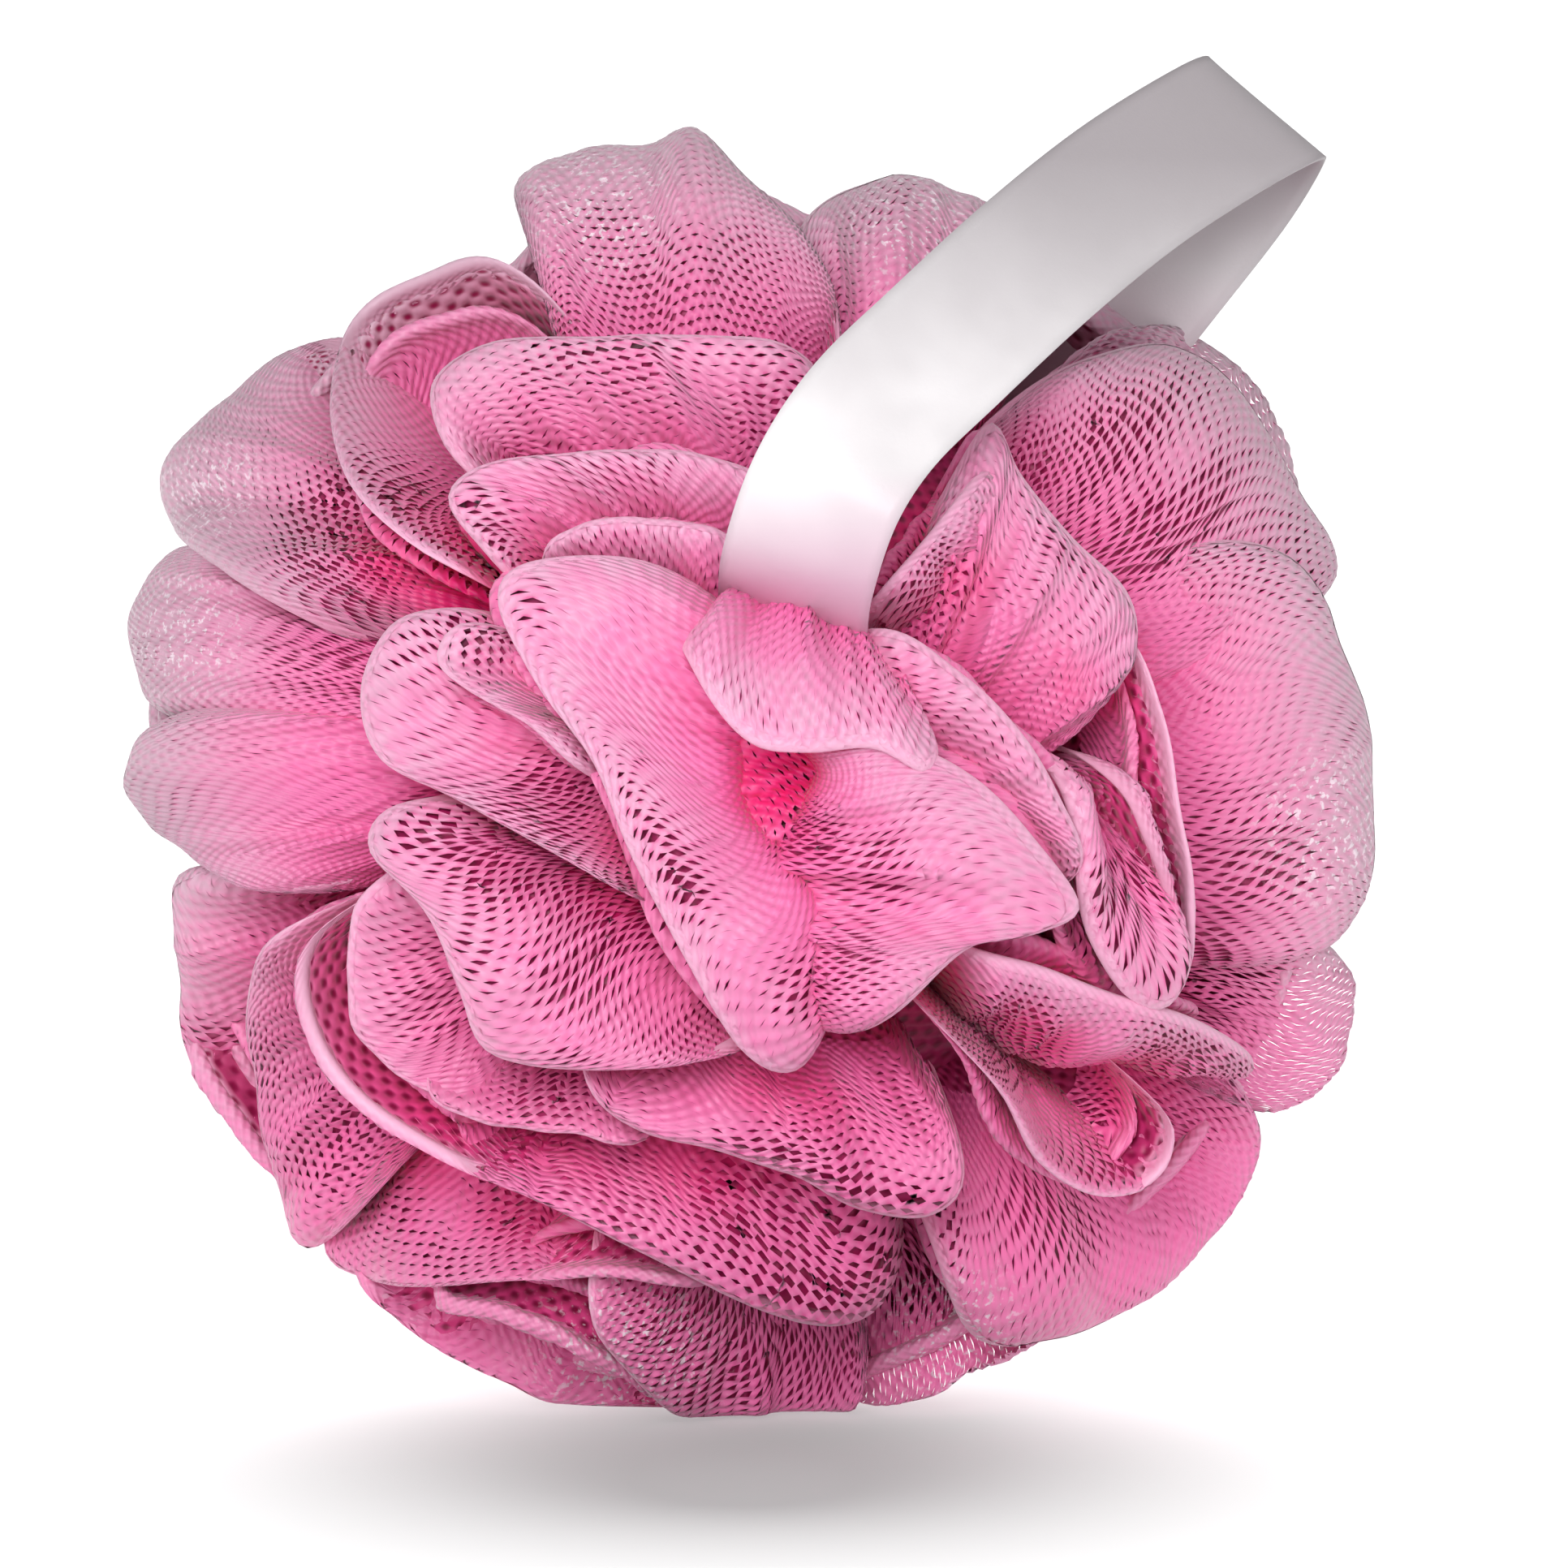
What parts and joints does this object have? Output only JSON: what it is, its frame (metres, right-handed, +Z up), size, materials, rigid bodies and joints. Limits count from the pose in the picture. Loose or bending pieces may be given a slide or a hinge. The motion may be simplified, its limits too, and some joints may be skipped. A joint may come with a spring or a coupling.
{
  "type": "mesh bath pouf",
  "caption": "Round bath pouf of gathered pink netting, with a loop of white satin ribbon to hang it by.",
  "frame": {"origin": "on the surface the pouf rests on, under the centre of the ball of netting", "axes": "+Z up, -Y the way the face of folds looks, +X to the viewer's right"},
  "size_m": [0.1226, 0.1273, 0.1343],
  "materials": {
    "pink_net": "soft extruded plastic netting",
    "white_satin": "satin ribbon",
    "tie_cord": "matt cord"
  },
  "bodies": {
    "root": {"netting": "pink_net", "ribbon_loop": "white_satin", "core_tie": "tie_cord"}
  },
  "joints": []
}
